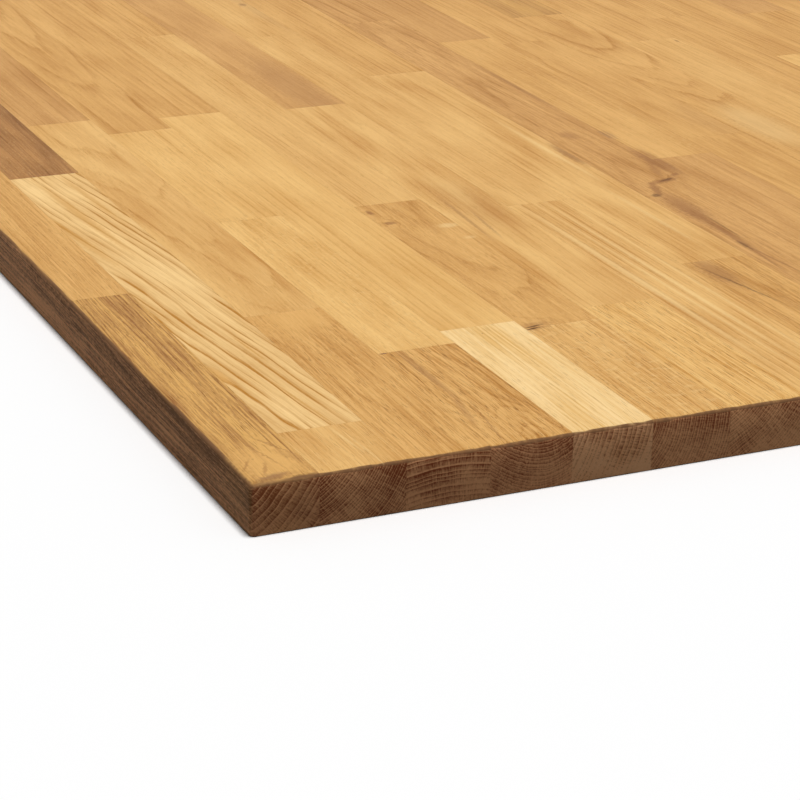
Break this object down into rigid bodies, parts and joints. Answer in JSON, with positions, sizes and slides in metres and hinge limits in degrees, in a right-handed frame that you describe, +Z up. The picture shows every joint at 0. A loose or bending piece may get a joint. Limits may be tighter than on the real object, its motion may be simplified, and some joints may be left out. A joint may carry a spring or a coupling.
{
  "type": "solid oak tabletop",
  "caption": "Flat rectangular tabletop glued up from short solid oak staves in parallel rows, butt jointed end to end, with lightly eased edges.",
  "frame": {"origin": "middle of the underside", "axes": "+X across the rows of staves, +Y along the staves from the front end to the back end, +Z up through the thickness; the underside lies on Z = 0"},
  "size_m": [0.8, 1, 0.027],
  "materials": {
    "oak_pale": "oiled, pale sapwood with flame figure",
    "oak_straw": "oiled, straight grained",
    "oak_honey": "oiled, straight grained",
    "oak_amber": "oiled, with ray flecks",
    "oak_brown": "oiled, dark pores and knots",
    "oak_dark": "oiled, dark heartwood"
  },
  "bodies": {
    "root": {"row_01_stave_1": "oak_brown", "row_01_stave_2": "oak_honey", "row_01_stave_3": "oak_amber", "row_02_stave_1": "oak_honey", "row_02_stave_2": "oak_pale", "row_02_stave_3": "oak_dark", "row_02_stave_4": "oak_honey", "row_03_stave_1": "oak_honey", "row_03_stave_2": "oak_honey", "row_03_stave_3": "oak_amber", "row_04_stave_1": "oak_brown", "row_04_stave_2": "oak_honey", "row_04_stave_3": "oak_straw", "row_04_stave_4": "oak_amber", "row_05_stave_1": "oak_pale", "row_05_stave_2": "oak_honey", "row_05_stave_3": "oak_honey", "row_06_stave_1": "oak_amber", "row_06_stave_2": "oak_amber", "row_06_stave_3": "oak_honey", "row_06_stave_4": "oak_amber", "row_07_stave_1": "oak_honey", "row_07_stave_2": "oak_straw", "row_07_stave_3": "oak_brown", "row_08_stave_1": "oak_straw", "row_08_stave_2": "oak_honey", "row_08_stave_3": "oak_amber", "row_09_stave_1": "oak_brown", "row_09_stave_2": "oak_honey", "row_09_stave_3": "oak_amber", "row_10_stave_1": "oak_brown", "row_10_stave_2": "oak_brown", "row_10_stave_3": "oak_amber", "row_11_stave_1": "oak_honey", "row_11_stave_2": "oak_straw", "row_11_stave_3": "oak_honey", "row_12_stave_1": "oak_amber", "row_12_stave_2": "oak_amber", "row_12_stave_3": "oak_amber", "row_13_stave_1": "oak_honey", "row_13_stave_2": "oak_pale", "row_13_stave_3": "oak_brown", "row_14_stave_1": "oak_honey", "row_14_stave_2": "oak_straw", "row_14_stave_3": "oak_honey", "row_15_stave_1": "oak_amber", "row_15_stave_2": "oak_honey", "row_15_stave_3": "oak_honey", "row_16_stave_1": "oak_straw", "row_16_stave_2": "oak_pale", "row_16_stave_3": "oak_honey", "row_17_stave_1": "oak_honey", "row_17_stave_2": "oak_brown", "row_17_stave_3": "oak_straw", "row_18_stave_1": "oak_amber", "row_18_stave_2": "oak_honey", "row_18_stave_3": "oak_amber"}
  },
  "joints": []
}
